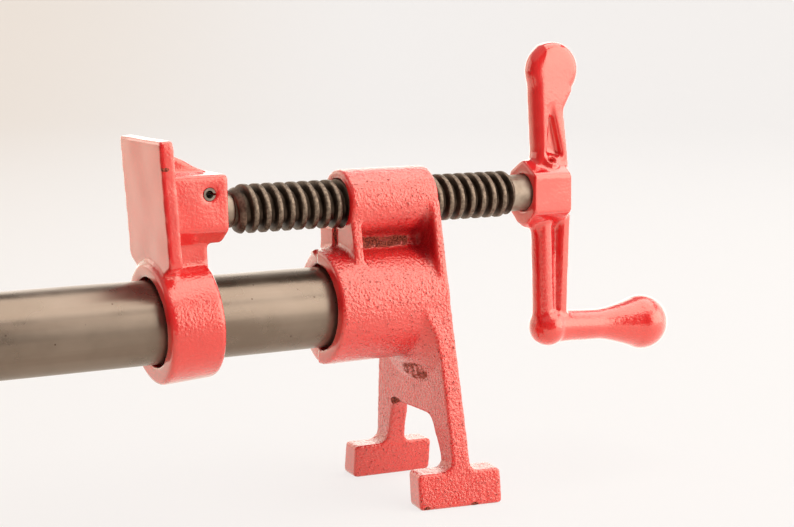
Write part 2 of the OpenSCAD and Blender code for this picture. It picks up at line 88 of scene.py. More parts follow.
def half_height(node):
    """A round node's radius."""
    low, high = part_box(node)
    return (high.z - low.z) / 2


PIPE_Z = middle("pipe").z
PIPE_R = half_height("pipe")
PIPE_LEFT, PIPE_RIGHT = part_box("pipe")[0].x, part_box("pipe")[1].x
SCREW_Z = middle("screw").z
SCREW_R = half_height("screw")
SCREW_LEFT, SCREW_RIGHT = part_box("screw")[0].x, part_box("screw")[1].x
HEAD_LOW, HEAD_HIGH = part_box("head_casting")
FOOT_HALF = 14.7 * MM                # half a foot's length
FEET_X = HEAD_HIGH.x - FOOT_HALF     # middle of the head's feet
BARREL_LEFT = HEAD_LOW.x             # left ends of the barrel on the pipe and of the nut
NUT_LEFT = FEET_X - 30.9 * MM
JAW_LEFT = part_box("jaw_casting")[0].x
CRANK_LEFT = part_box("crank_handle")[0].x
SPRING_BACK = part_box("clutch_spring")[0].x

# ---------------------------------------------------------------- camera

CAMERA_AT = Vector((-0.17892, -0.48306, 0.15842))
CAMERA_AZIMUTH = -29.197
CAMERA_ELEVATION = 8.191
LENS_MM, SENSOR_MM = 75.08, 36


def make_camera():
    """The photo's view, by a camera at CAMERA_AT that looks along its azimuth and elevation."""
    data = bpy.data.cameras.new("camera")
    data.lens = LENS_MM
    data.sensor_width = SENSOR_MM
    data.clip_start, data.clip_end = 0.01, 50
    camera = bpy.data.objects.new("camera", data)
    azimuth, elevation = math.radians(CAMERA_AZIMUTH), math.radians(CAMERA_ELEVATION)
    back = Vector((
        math.sin(azimuth) * math.cos(elevation),
        -math.cos(azimuth) * math.cos(elevation),
        math.sin(elevation),
    ))
    camera.location = CAMERA_AT
    camera.rotation_mode = "QUATERNION"
    camera.rotation_quaternion = (-back).to_track_quat("-Z", "Y")
    bpy.context.scene.collection.objects.link(camera)
    bpy.context.scene.camera = camera


make_camera()
bpy.context.scene.view_settings.view_transform = "Standard"

# ---------------------------------------------------------------- material helpers


class Nodes:
    """Short names for making and joining a material's shader nodes."""

    def __init__(self, name):
        self.material = bpy.data.materials.new(name)
        self.material.use_nodes = True
        self.tree = self.material.node_tree
        self.shader = self.tree.nodes["Principled BSDF"]
        self.point = self.add("ShaderNodeTexCoord").outputs["Object"]

    def add(self, kind, **settings):
        node = self.tree.nodes.new(kind)
        for key, value in settings.items():
            setattr(node, key, value)
        return node

    def join(self, source, target):
        self.tree.links.new(source, target)

    def put(self, value, socket):
        """Sets a socket to a number or colour, or joins another socket to it."""
        if isinstance(value, bpy.types.NodeSocket):
            self.join(value, socket)
        else:
            socket.default_value = value

    def noise(self, scale, detail=2.0, roughness=0.5, stretch=None):
        """Noise at a scale in waves a metre."""
        node = self.add("ShaderNodeTexNoise")
        node.inputs["Scale"].default_value = scale
        node.inputs["Detail"].default_value = detail
        node.inputs["Roughness"].default_value = roughness
        self.join(self.stretched(stretch), node.inputs["Vector"])
        return node.outputs["Fac"]

    def cells(self, scale):
        """Distance to the nearest of many scattered points."""
        node = self.add("ShaderNodeTexVoronoi", feature="F1")
        node.inputs["Scale"].default_value = scale
        self.join(self.point, node.inputs["Vector"])
        return node.outputs["Distance"]

    def stretched(self, stretch):
        """The point, scaled along each axis."""
        if stretch is None:
            return self.point
        node = self.add("ShaderNodeMapping")
        node.inputs["Scale"].default_value = stretch
        self.join(self.point, node.inputs["Vector"])
        return node.outputs["Vector"]

    def ramp(self, value, low, high, start=0.0, end=1.0):
        """Start below low, end above high, smooth between."""
        node = self.add("ShaderNodeMapRange", interpolation_type="SMOOTHSTEP")
        self.put(value, node.inputs["Value"])
        node.inputs["From Min"].default_value = low
        node.inputs["From Max"].default_value = high
        node.inputs["To Min"].default_value = start
        node.inputs["To Max"].default_value = end
        return node.outputs["Result"]

    def maths(self, operation, a, b=0.0):
        node = self.add("ShaderNodeMath", operation=operation)
        self.put(a, node.inputs[0])
        self.put(b, node.inputs[1])
        return node.outputs[0]

    def mix(self, share, a, b):
        node = self.add("ShaderNodeMix", data_type="RGBA")
        self.put(share, node.inputs["Factor"])
        self.put(a, node.inputs["A"])
        self.put(b, node.inputs["B"])
        return node.outputs["Result"]

    def attribute(self, name):
        return self.add("ShaderNodeAttribute", attribute_name=name).outputs["Fac"]

    def coordinate(self, axis):
        node = self.add("ShaderNodeSeparateXYZ")
        self.join(self.point, node.inputs[0])
        return node.outputs[axis]

    def bump(self, height, distance, strength=1.0):
        node = self.add("ShaderNodeBump")
        self.put(strength, node.inputs["Strength"])
        node.inputs["Distance"].default_value = distance
        self.put(height, node.inputs["Height"])
        return node.outputs["Normal"]

    def finish(self, **values):
        """Sets the shader's sockets, such as Base_Color or Roughness."""
        for key, value in values.items():
            self.put(value, self.shader.inputs[key.replace("_", " ")])
        return self.material


def rgb(red, green, blue):
    """A colour from its display values, 0 to 255."""
    def linear(v):
        v /= 255
        return v / 12.92 if v <= 0.04045 else ((v + 0.055) / 1.055) ** 2.4
    return (linear(red), linear(green), linear(blue), 1.0)


# ---------------------------------------------------------------- materials


PAINT_DEEP, PAINT_BRIGHT = (0.71, 0.012, 0.018, 1), (0.78, 0.020, 0.023, 1)
PAINT_PIT, PAINT_SHADE = (0.14, 0.012, 0.008, 1), (0.28, 0.008, 0.012, 1)
IRON_DARK, IRON_RUSTY = (0.085, 0.012, 0.009, 1), (0.42, 0.085, 0.055, 1)
PAINT_SHEEN = (1, 0.88, 0.66, 1)
PAINT_RELIEF = 0.38 * MM
LUMP_WAVES, FINE_WAVES, CHIP_WAVES, BLOTCH_WAVES = 1150, 1900, 420, 60  # a metre

SCALE_DARK, SCALE_LIGHT = (0.200, 0.154, 0.121, 1), (0.262, 0.206, 0.165, 1)
SCALE_STREAK, RUST_SPECK = (0.19, 0.135, 0.10, 1), (0.06, 0.028, 0.018, 1)

GROOVE_DARK, GROOVE_LIGHT = (0.045, 0.029, 0.020, 1), (0.105, 0.072, 0.052, 1)
CREST_DARK, CREST_LIGHT = (0.11, 0.078, 0.058, 1), (0.22, 0.165, 0.125, 1)
SHANK_DARK, SHANK_LIGHT = (0.23, 0.175, 0.135, 1), (0.36, 0.29, 0.235, 1)
STEEL_RELIEF = 0.03 * MM


def red_paint():
    """Thick glossy enamel over a sand casting: orange peel, dark pits, bare chips, a painted shadow
    along one seam and painted shade in corners.
    """
    n = Nodes("red_paint")
    pebble = n.attribute("pebble")
    lumps = n.noise(LUMP_WAVES, 2.0, 0.5)
    fine = n.noise(FINE_WAVES, 2.0, 0.6)
    paint = n.mix(n.ramp(n.noise(BLOTCH_WAVES, 3.0, 0.6), 0.35, 0.7), PAINT_DEEP, PAINT_BRIGHT)
    pits = n.ramp(n.noise(LUMP_WAVES, 2.0, 0.7), 0.635, 0.69)
    holes = n.maths("MULTIPLY", pits, n.ramp(pebble, 0.2, 1.0))
    paint = n.mix(n.maths("MULTIPLY", holes, 0.8), paint, PAINT_PIT)
    # painted shade: darker, less glossy paint in the casting's corners
    painted_shade = n.attribute("painted_shade")
    paint = n.mix(painted_shade, paint, PAINT_SHADE)
    coarse = n.noise(CHIP_WAVES, 3.0, 0.6)
    ragged = n.maths("ADD", n.maths("MULTIPLY", coarse, 0.5), n.maths("MULTIPLY", fine, 0.5))
    # bare iron at chips and worn spots, and on the lower barrel's seam a painted shadow in the iron's
    # dark colour
    bare_and_shadow = n.maths("MULTIPLY", n.attribute("bare_and_shadow"), 1.3)
    chipped_and_shadow = n.ramp(n.maths("ADD", bare_and_shadow, ragged), 1.03, 1.12)
    colour = n.mix(chipped_and_shadow, paint, n.mix(n.ramp(fine, 0.42, 0.6), IRON_DARK, IRON_RUSTY))
    height = n.maths("ADD", lumps, n.maths("MULTIPLY", fine, 0.16))
    height = n.maths("SUBTRACT", height, n.maths("MULTIPLY", holes, 0.35))
    normal = n.bump(height, PAINT_RELIEF, n.ramp(pebble, 0.0, 1.0, 0.04, 1.0))
    dull = n.maths("MAXIMUM", chipped_and_shadow, holes)
    rough = n.maths("ADD", n.ramp(pebble, 0.2, 1.0, 0.12, 0.24), n.maths("MULTIPLY", dull, 0.5))
    unshaded = n.ramp(painted_shade, 0.0, 1.0, 1.0, 0.2)
    shine = n.maths("MULTIPLY", n.ramp(dull, 0.0, 1.0, 1.0, 0.05), unshaded)
    sheen = n.maths("MULTIPLY", n.ramp(dull, 0.0, 1.0, 0.5, 0.08), unshaded)
    return n.finish(
        Base_Color=colour, Roughness=rough, Normal=normal, IOR=1.74, Specular_IOR_Level=sheen,
        Specular_Tint=PAINT_SHEEN, Coat_Weight=shine, Coat_Roughness=0.07, Coat_IOR=1.52,
        Coat_Normal=normal,
    )


def mill_steel():
    """The pipe: smooth grey-brown mill scale with a few rust specks."""
    n = Nodes("mill_steel")
    cloud = n.noise(55, 3.0, 0.55)
    streaks = n.noise(300, 2.0, 0.5, stretch=(0.03, 1, 1))
    tint = n.mix(n.ramp(cloud, 0.3, 0.7), SCALE_DARK, SCALE_LIGHT)
    colour = n.mix(n.ramp(streaks, 0.42, 0.75, 0.0, 0.35), tint, SCALE_STREAK)
    specks = n.ramp(n.cells(210), 0.04, 0.075, 0.8, 0.0)
    colour = n.mix(specks, colour, RUST_SPECK)
    rough = n.ramp(cloud, 0.3, 0.7, 0.24, 0.34)
    normal = n.bump(n.noise(520, 2.0, 0.5, stretch=(0.2, 1, 1)), STEEL_RELIEF)
    return n.finish(Base_Color=colour, Metallic=0.85, Roughness=rough, Normal=normal)


def screw_steel():
    """The screw: oiled steel, near black in its grooves and lighter on its crests, partly from wear and
    partly painted shade in the grooves and painted highlight on the crests.
    """
    n = Nodes("screw_steel")
    worn_and_lit, plain = n.attribute("worn_and_lit"), n.attribute("plain")
    cloud = n.noise(200, 3.0, 0.6)
    # painted shade in the grooves and painted highlight on the crests, together with wear
    groove = n.mix(n.ramp(cloud, 0.35, 0.7), GROOVE_DARK, GROOVE_LIGHT)
    crest = n.mix(n.ramp(n.noise(900, 2.0, 0.6), 0.3, 0.65), CREST_DARK, CREST_LIGHT)
    shank = n.mix(n.ramp(cloud, 0.3, 0.7), SHANK_DARK, SHANK_LIGHT)
    colour = n.mix(plain, n.mix(worn_and_lit, groove, crest), shank)
    normal = n.bump(n.noise(1500, 3.0, 0.6), STEEL_RELIEF)
    rough = n.ramp(cloud, 0.3, 0.7, 0.36, 0.50)
    return n.finish(Base_Color=colour, Metallic=0.8, Roughness=rough, Normal=normal)


def plain_steel(name, colour, roughness, grain):
    """Clouded bare steel; grain is in waves a metre."""
    n = Nodes(name)
    cloud = n.noise(grain, 3.0, 0.6)
    dim = tuple(c * 0.6 for c in colour[:3]) + (1.0,)
    tint = n.mix(n.ramp(cloud, 0.3, 0.7), dim, colour)
    normal = n.bump(n.noise(grain * 6, 2.0, 0.5), 0.00002)
    rough = n.ramp(cloud, 0.3, 0.7, roughness, roughness + 0.12)
    return n.finish(Base_Color=tint, Metallic=0.9, Roughness=rough, Normal=normal)


RED = red_paint()
PIPE_STEEL = mill_steel()
SCREW_STEEL = screw_steel()
PIN_STEEL = plain_steel("pin_steel", rgb(146, 132, 122), 0.28, 400)
PLATE_STEEL = plain_steel("plate_steel", rgb(128, 122, 116), 0.32, 220)
SPRING_STEEL = plain_steel("spring_steel", rgb(150, 146, 140), 0.25, 500)

# ---------------------------------------------------------------- mesh helpers


def link(name, mesh, body, material):
    """A piece from a mesh, on its body, with its material."""
    piece = bpy.data.objects.new(name, mesh)
    bpy.context.scene.collection.objects.link(piece)
    mesh.materials.clear()
    mesh.materials.append(material)
    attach(piece, body)
    return piece


def body_of(node):
    return frame["nodes"][node]["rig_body"]


def points_of(mesh):
    flat = np.empty(len(mesh.vertices) * 3)
    mesh.vertices.foreach_get("co", flat)
    return flat.reshape(-1, 3)


def normals_of(mesh):
    flat = np.empty(len(mesh.vertices) * 3)
    mesh.vertex_normals.foreach_get("vector", flat)
    return flat.reshape(-1, 3)


def set_points(mesh, points):
    mesh.vertices.foreach_set("co", points.astype(np.float32).ravel())
    mesh.update()


def with_modifier(mesh, kind, **settings):
    """The mesh after one modifier."""
    holder = bpy.data.objects.new("holder", mesh)
    bpy.context.scene.collection.objects.link(holder)
    modifier = holder.modifiers.new("step", kind)
    for key, value in settings.items():
        setattr(modifier, key, value)
    depsgraph = bpy.context.evaluated_depsgraph_get()
    made = bpy.data.meshes.new_from_object(holder.evaluated_get(depsgraph))
    bpy.data.objects.remove(holder)
    return made


def finished(made, name):
    """The mesh of a bmesh, which ends here."""
    mesh = bpy.data.meshes.new(name)
    made.to_mesh(mesh)
    made.free()
    return mesh


def smoothstep(values, low, high):
    """Nothing below low, one above high, smooth between."""
    t = np.clip((values - low) / (high - low), 0, 1)
    return t * t * (3 - 2 * t)


def store(mesh, name, values):
    """Keeps one number a point for the material to read."""
    attribute = mesh.attributes.new(name, "FLOAT", "POINT")
    attribute.data.foreach_set("value", np.asarray(values, np.float32))


def ripple(points, wave, amount, seed):
    """Smooth bumps of a wavelength and height, one value a point."""
    offset = Vector((seed * 3.1, seed * 1.7, seed * 0.9))
    return amount * np.array([noise.noise(Vector(p) / wave + offset) for p in points])


# ---------------------------------------------------------------- castings

VOXEL = 0.45 * MM
SHARP = 0.4 * MM      # width of a step where the two halves of a mould meet
SWELL_WAVE, SWELL = 11 * MM, 0.12 * MM
RIPPLES = ((2.7 * MM, 0.03 * MM, 2), (1.3 * MM, 0.06 * MM, 3))  # wavelength, height, seed
STILL_BELOW, FULL_ABOVE = 0.3 * MM, 2 * MM  # the feet's undersides stay flat
SOFT_ROUNDS = 70

BARREL_SHIFT = 2.2 * MM   # the far half of the lower barrel is set back
NUT_SHIFT = 0.8 * MM      # the nut's left end stands out
LOBE_SHIFT = 1.1 * MM     # and the rib's far lobe with it, leftward and sideways
LOBE_SPREAD = 1.7 * MM
WEB_Z = 87.2 * MM         # middle of the gap between the barrels
FOOT_Y = 23.7 * MM
FOOT_TURNS = ((-1, math.radians(-8)), (1, math.radians(-4)))


def cast_mesh(node, fillet, rounding):
    """The node's mesh as a sand casting: filled inner corners and rounded edges."""
    mesh = frame["nodes"][node].data.copy()
    mesh = with_modifier(mesh, "REMESH", mode="VOXEL", voxel_size=VOXEL)
    for distance in (fillet, -fillet):
        set_points(mesh, points_of(mesh) + distance * normals_of(mesh))
        mesh = with_modifier(mesh, "REMESH", mode="VOXEL", voxel_size=VOXEL)
    return with_modifier(mesh, "SMOOTH", factor=0.5, iterations=rounding)


def soften(mesh, share, rounds):
    """Rounds the surface where share is one, each point moving towards its neighbours' middle."""
    points, count = points_of(mesh), len(mesh.vertices)
    ends = np.empty(len(mesh.edges) * 2, np.int32)
    mesh.edges.foreach_get("vertices", ends)
    a, b = ends.reshape(-1, 2).T
    near = np.bincount(a, minlength=count) + np.bincount(b, minlength=count)
    for _ in range(rounds):
        total = np.stack([np.bincount(a, points[b, k], count) + np.bincount(b, points[a, k], count)
                          for k in range(3)], axis=1)
        points += 0.5 * share[:, None] * (total / near[:, None] - points)
    set_points(mesh, points)


def casting(node, name, fillet, rounding, roughness, warp=None, bare_and_shadow=None, painted_shade=None, soft=None):
    """A painted casting; the functions give its texture, faults, chips with a painted shadow, painted
    shade in corners and round edges.
    """
    mesh = cast_mesh(node, fillet, rounding)
    if soft:
        soften(mesh, soft(points_of(mesh)), SOFT_ROUNDS)
    if warp:
        set_points(mesh, warp(points_of(mesh)))
    points = points_of(mesh)
    normals = normals_of(mesh)
    pebble = roughness(points, normals)
    swell = ripple(points, SWELL_WAVE, SWELL, 1)
    swell += sum(ripple(points, *wave) for wave in RIPPLES) * pebble
    swell *= smoothstep(points[:, 2], STILL_BELOW, FULL_ABOVE)
    set_points(mesh, points + swell[:, None] * normals)
    store(mesh, "pebble", pebble)
    store(mesh, "bare_and_shadow", bare_and_shadow(points) if bare_and_shadow else np.zeros(len(points)))
    store(mesh, "painted_shade", painted_shade(points) if painted_shade else np.zeros(len(points)))
    mesh.shade_smooth()
    piece = link(name, mesh, body_of(node), RED)
    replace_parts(piece, node)


# strength, then centre and reach in mm from the middle of the head's feet
HEAD_CHIPS_AND_SHADOW = [
    (0.46, (-5.5, -6, 42.0), (4, 15, 7)),          # under the lower barrel
    (0.9, (-5, 11, 28.2), (5, 6, 2.6)),            # the corner between the legs
    (0.9, (-31.5, 2.6, 107.6), (1.6, 1.6, 1.4)),   # the seam on the nut's end
    (0.9, (-31.5, 2.2, 89), (1.2, 0.8, 5)),        # the seam on the rib
    (0.9, (-39, 0.3, 83), (2.5, 0.7, 4)),          # the seam on the lower barrel, a painted shadow: a dark strip along its step
    (0.9, (4, -30, 0.6), (2.2, 2, 1.2)),           # two spots on the near foot's lower edge
    (0.9, (-13, -28, 0.8), (2.4, 2, 1.2)),
]
# painted shade in the head's corners: strength, then centre and reach as above
HEAD_SHADE = [(0.75, (-4, -8, 88), (5, 10, 13)), (0.5, (-16, -6, 90), (13, 6, 5))]


def patch(points, centre, reach):
    """One at a spot, in mm from the middle of the head's feet, and nothing beyond its reach."""
    away = (points - np.array((FEET_X, 0, 0)) - np.array(centre) * MM) / (np.array(reach) * MM)
    return 1 - smoothstep(np.linalg.norm(away, axis=1), 0.45, 1.0)


def warp_head(points):
    """The casting's own faults: mould halves that don't quite meet, and feet that are turned."""
    moved = points.copy()
    x, y, z = points.T
    far = smoothstep(y, -SHARP, SHARP)
    end = 1 - smoothstep(x - BARREL_LEFT, 0.8 * MM, 7 * MM)
    moved[:, 0] += BARREL_SHIFT * far * end * (0.45 + 0.55 * smoothstep(y, 0, 14 * MM))
    nut_end = 1 - smoothstep(x - NUT_LEFT, 0.6 * MM, 6 * MM)
    moved[:, 0] -= NUT_SHIFT * nut_end * smoothstep(z, 86 * MM, 97 * MM)
    lobe = smoothstep(y + 0.12 * (z - 88 * MM), 2.4 * MM, 2.4 * MM + SHARP)
    lobe *= smoothstep(z, 82.6 * MM, 84.6 * MM) * (1 - smoothstep(z, 91 * MM, 94 * MM))
    moved[:, 0] -= LOBE_SHIFT * nut_end * lobe
    moved[:, 1] += LOBE_SPREAD * nut_end * lobe * smoothstep(y, 5 * MM, 10 * MM)
    for side, turn in FOOT_TURNS:
        share = smoothstep(side * y, 8 * MM, 14 * MM) * (1 - smoothstep(z, 10 * MM, 27 * MM))
        angle = turn * share
        dx, dy = x - FEET_X, y - side * FOOT_Y
        moved[:, 0] += dx * (np.cos(angle) - 1) - dy * np.sin(angle)
        moved[:, 1] += dx * np.sin(angle) + dy * (np.cos(angle) - 1)
    return moved


def rough_head(points, normals):
    """Pebbly, but smoother on the ring faces that point left."""
    ends = smoothstep(FEET_X - points[:, 0], 8 * MM, 12 * MM)
    return 1 - 0.75 * smoothstep(-normals[:, 0], 0.8, 0.97) * ends


def bare_and_shadow_head(points):
    """Bare iron: deep between the barrels, in a patch below the lower one and on chipped edges; on the
    lower barrel's seam it is a painted shadow.
    """
    x, y, z = (points - np.array((FEET_X, 0, 0))).T
    inside = smoothstep(-np.abs(z - WEB_Z), -3.4 * MM, -1.2 * MM)
    inside *= smoothstep(-np.abs(y), -7 * MM, -4.5 * MM)
    total = 0.52 * inside * smoothstep(x, -28 * MM, -27 * MM) * smoothstep(-x, 1 * MM, 9 * MM)
    for strength, centre, reach in HEAD_CHIPS_AND_SHADOW:
        total += strength * patch(points, centre, reach)
    return np.clip(total, 0, 1)


def shade_head(points):
    """Painted shade: darker paint in the corner beside the leg plate and in the one below the nut."""
    spots = [strength * patch(points, centre, reach) for strength, centre, reach in HEAD_SHADE]
    return np.clip(sum(spots), 0, 1)


def rough_jaw(points, normals):
    """Smooth on its face, pebbly on its collar."""
    face = smoothstep(-normals[:, 0], 0.75, 0.95)
    collar = smoothstep(-points[:, 2], -PIPE_Z - 22 * MM, -PIPE_Z - 14 * MM)
    return (1 - face) * (0.2 + 0.25 * collar)


def bare_jaw(points):
    """A nick on the near edge of the jaw's face."""
    x, y, z = points.T
    near = smoothstep(-y, 16.2 * MM, 17.4 * MM)
    near *= 1 - smoothstep(x, JAW_LEFT + 2 * MM, JAW_LEFT + 4 * MM)
    nick = 1 - smoothstep(np.abs(z - 115.5 * MM), 0.2 * MM, 0.9 * MM)
    return 0.8 * near * nick


def rough_crank(points, normals):
    """Nearly smooth, a little rougher below the hub."""
    return 0.14 + 0.2 * smoothstep(-points[:, 2], -SCREW_Z + 12 * MM, -SCREW_Z + 16 * MM)


def soft_crank(points):
    """The left side of both arms, which is round, but not the hub's."""
    x, _, z = points.T
    arms = smoothstep(np.abs(z - SCREW_Z), 10.5 * MM, 13 * MM)
    left = 1 - smoothstep(x, CRANK_LEFT + 5 * MM, CRANK_LEFT + 7 * MM)
    return arms * left


casting("head_casting", "head", 0.9 * MM, 2, rough_head, warp_head, bare_and_shadow_head, shade_head)
casting("jaw_casting", "jaw", 0.5 * MM, 2, rough_jaw, bare_and_shadow=bare_jaw)
casting("crank_handle", "crank", 0.7 * MM, 4, rough_crank, soft=soft_crank)
casting("tail_casting", "tail_stop", 1.0 * MM, 3, rough_head)

# ---------------------------------------------------------------- turned pieces


def lathe(profile, z, segments=128):
    """A closed mesh of (x, radius) points turned about an axis along X at the height z."""
    made = bmesh.new()
    rings = []
    for x, radius in profile:
        if radius <= 0:
            rings.append([made.verts.new((x, 0, z))])
            continue
        angles = [TURN * i / segments for i in range(segments)]
        rings.append([
            made.verts.new((x, radius * math.cos(a), z + radius * math.sin(a))) for a in angles
        ])
    for first, second in zip(rings, rings[1:]):
        for i in range(segments):
            j = (i + 1) % segments
            corners = [first[i % len(first)], first[j % len(first)],
                       second[j % len(second)], second[i % len(second)]]
            made.faces.new(list(dict.fromkeys(corners)))
    bmesh.ops.recalc_face_normals(made, faces=made.faces)
    return finished(made, "turned")


def joined(meshes):
    """One mesh of several."""
    made = bmesh.new()
    for mesh in meshes:
        made.from_mesh(mesh)
    return finished(made, "joined")


# ---------------------------------------------------------------- threads

ACME_FLANK = math.radians(14.5)
PIPE_FLANK = math.radians(30)


def thread_mesh(ends, radius, depth, pitch, flat, flank_angle, start, z, limit, bore=None):
    """A right-hand thread between two ends: a helix of one pitch's profile, swept and closed.

    start is a place on a crest, as x and an angle; limit gives the most radius at each x. With a
    bore the thread is a sleeve, and without one it is solid.
    """
    left, right = ends
    flank = depth * math.tan(flank_angle)
    half, soft = flat / 2, 0.06 * depth
    root = max(0.05 * pitch, (pitch - flat) / 2 - flank)
    outline = [
        (-pitch / 2, radius - depth), (-half - flank - root * 0.3, radius - depth),
        (-half - flank * 0.92, radius - depth + soft), (-half - flank * 0.5, radius - depth / 2),
        (-half - soft * 0.4, radius - soft), (-half + soft, radius), (0, radius), (half - soft, radius),
        (half + soft * 0.4, radius - soft), (half + flank * 0.5, radius - depth / 2),
        (half + flank * 0.92, radius - depth + soft), (half + flank + root * 0.3, radius - depth),
    ]
    steps = 72
    start_x, start_angle = start
    first = math.floor((left - start_x) / pitch) - 1
    columns = (math.ceil((right - left) / pitch) + 3) * steps
    made = bmesh.new()
    layer = made.verts.layers.float.new("worn_and_lit")
    grid = []
    for i in range(columns + 1):
        angle = start_angle + TURN * i / steps
        base = start_x + (first + i / steps) * pitch
        row = []
        for dx, r in outline:
            r = max(min(r, limit(base + dx)), radius - depth - 0.05 * MM)
            vertex = made.verts.new((base + dx, r * math.cos(angle), z + r * math.sin(angle)))
            # one on the crests and nothing deep in the grooves: wear plus painted highlight and shade
            vertex[layer] = min(1.0, max(0.0, 1 - (limit(base) - r) / (0.35 * depth)))
            row.append(vertex)
        grid.append(row)
    for i in range(columns):
        for k in range(len(outline) - 1):
            made.faces.new((grid[i][k], grid[i][k + 1], grid[i + 1][k + 1], grid[i + 1][k]))
        if i + steps <= columns - 1:
            made.faces.new((grid[i][-1], grid[i + steps][0], grid[i + steps + 1][0], grid[i + 1][-1]))
    inner = []
    for x, side in ((left, 1), (right, -1)):
        geometry = made.verts[:] + made.edges[:] + made.faces[:]
        bmesh.ops.bisect_plane(made, geom=geometry, plane_co=(x, 0, 0), plane_no=(-side, 0, 0),
                               clear_outer=True)
        rim = [e for e in made.edges if e.is_boundary and all(abs(v.co.x - x) < 1e-6 for v in e.verts)]
        if bore is None:
            bmesh.ops.contextual_create(made, geom=rim)
            continue
        turns = [TURN * i / steps for i in range(steps)]
        ring = [made.verts.new((x, bore * math.cos(a), z + bore * math.sin(a))) for a in turns]
        loop = [made.edges.new((ring[i], ring[(i + 1) % steps])) for i in range(steps)]
        bmesh.ops.bridge_loops(made, edges=rim + loop)
        inner += loop
    if inner:
        bmesh.ops.bridge_loops(made, edges=inner)
    bmesh.ops.recalc_face_normals(made, faces=made.faces)
    return finished(made, "thread")


def add_turned(name, meshes, body, material, node, plain=()):
    """A piece joined from turned meshes; plain numbers those that have no thread."""
    for number, mesh in enumerate(meshes):
        store(mesh, "plain", np.full(len(mesh.vertices), 1.0 if number in plain else 0.0))
    mesh = joined(meshes)
    mesh.shade_smooth()
    mesh.set_sharp_from_angle(angle=math.radians(38))
    piece = link(name, mesh, body, material)
    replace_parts(piece, node)


# ---------------------------------------------------------------- screw

PITCH = 25.4 * MM / 6
THREAD_DEPTH = 2.3 * MM
CREST_FLAT = 0.3707 * PITCH
CREST = (FEET_X - 65.32 * MM, math.radians(84.1))  # a place on a crest, as the photo shows it
THREAD_LEFT = FEET_X - 70.4 * MM
THREAD_LENGTH = 104.4 * MM
RUN_IN = 0.6  # gain of the thread's radius along its run-in
JOURNAL_R, SHANK_R = 5 * MM, 6.35 * MM


def make_screw():
    """The journal, the thread with its run-in, and the plain shank."""
    thread_right = THREAD_LEFT + THREAD_LENGTH

    def limit(x):
        run_in = (THREAD_LEFT + 3.3 * MM - x) * RUN_IN
        return SCREW_R - max(0.0, run_in, (x - thread_right + 1.3 * MM) * 1.1)

    thread = thread_mesh((THREAD_LEFT, thread_right), SCREW_R, THREAD_DEPTH, PITCH, CREST_FLAT,
                         ACME_FLANK, CREST, SCREW_Z, limit)
    journal = lathe([
        (SCREW_LEFT, 0), (SCREW_LEFT, JOURNAL_R - 0.8 * MM), (SCREW_LEFT + 0.8 * MM, JOURNAL_R),
        (THREAD_LEFT + 0.3 * MM, JOURNAL_R), (THREAD_LEFT + 0.3 * MM, 0),
    ], SCREW_Z)
    shank = lathe([
        (thread_right - 1 * MM, 0), (thread_right - 1 * MM, SHANK_R), (SCREW_RIGHT - 0.6 * MM, SHANK_R),
        (SCREW_RIGHT, SHANK_R - 0.6 * MM), (SCREW_RIGHT, 0),
    ], SCREW_Z)
    add_turned("screw_thread", [thread, journal, shank], body_of("screw"), SCREW_STEEL,
               "screw", plain=(1, 2))


make_screw()

# ---------------------------------------------------------------- pipe

PIPE_WALL = 2.87 * MM
PIPE_PITCH = 25.4 * MM / 14
PIPE_THREAD = 19.5 * MM
PIPE_TAPER = 1 / 32     # of the radius, along the thread
THREAD_SINK = 0.1 * MM  # the pipe thread's crests lie this far below the pipe's surface
PIPE_DEPTH, PIPE_CREST = 1.1 * MM, 0.1 * MM


def make_pipe():
    """A tube with a taper thread on its free end; the other end is hidden in the head."""
    shoulder = PIPE_LEFT + PIPE_THREAD
    bore = PIPE_R - PIPE_WALL
    low = PIPE_R - 1.4 * MM

    def limit(x):
        taper = max(0.0, shoulder - x) * PIPE_TAPER
        return PIPE_R - THREAD_SINK - taper - max(0.0, PIPE_LEFT + 1 * MM - x) * 1.2

    thread = thread_mesh((PIPE_LEFT, shoulder), PIPE_R - THREAD_SINK, PIPE_DEPTH, PIPE_PITCH,
                         PIPE_CREST, PIPE_FLANK, (PIPE_LEFT, 0), PIPE_Z, limit, bore + 0.2 * MM)
    tube = lathe([
        (PIPE_LEFT + 0.2 * MM, bore), (PIPE_LEFT + 0.2 * MM, low), (shoulder - 0.2 * MM, low),
        (shoulder + 0.6 * MM, PIPE_R), (PIPE_RIGHT, PIPE_R), (PIPE_RIGHT, bore),
        (PIPE_LEFT + 0.2 * MM, bore),
    ], PIPE_Z, 160)
    add_turned("pipe_tube", [thread, tube], body_of("pipe"), PIPE_STEEL, "pipe",
               plain=(1,))


make_pipe()

# ---------------------------------------------------------------- pins, plates and spring


def dress(node, material):
    """A CAD node that stays, with its own material."""
    kept = frame["nodes"][node]
    kept.data.materials.clear()
    kept.data.materials.append(material)


def edged(node, name, material, round_by):
    """A copy of a node with its edges taken off."""
    mesh = frame["nodes"][node].data.copy()
    mesh = with_modifier(mesh, "WELD", merge_threshold=0.001 * MM)
    mesh = with_modifier(mesh, "BEVEL", width=round_by, segments=2, limit_method="ANGLE",
                         angle_limit=math.radians(50))
    mesh.shade_smooth()
    mesh.set_sharp_from_angle(angle=math.radians(35))
    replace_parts(link(name, mesh, body_of(node), material), node)


